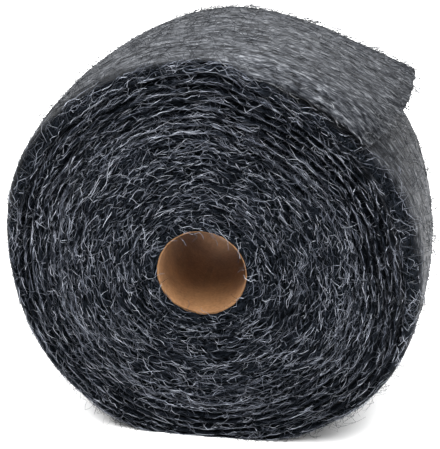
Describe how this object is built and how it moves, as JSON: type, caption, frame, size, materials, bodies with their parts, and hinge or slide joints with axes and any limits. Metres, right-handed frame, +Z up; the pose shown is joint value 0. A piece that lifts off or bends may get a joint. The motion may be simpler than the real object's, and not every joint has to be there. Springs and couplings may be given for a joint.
{
  "type": "steel wool roll",
  "caption": "Roll of fine steel wool: a soft fibrous web wound on a cardboard tube, its free end lifting off the top, lying on its side on a small flat.",
  "frame": {"origin": "middle of the flat the roll rests on, straight under the winding's centre and half way along its axis", "axes": "+Y along the roll's axis from the front end to the back end, +Z up, +X to the side the free end points to"},
  "size_m": [0.1868, 0.1016, 0.177],
  "materials": {
    "steel_wool": "fine fibre, oiled, dull sheen",
    "cardboard": "plain brown kraft"
  },
  "bodies": {
    "root": {"cardboard_tube": "cardboard", "steel_wool_web": "steel_wool"}
  },
  "joints": []
}
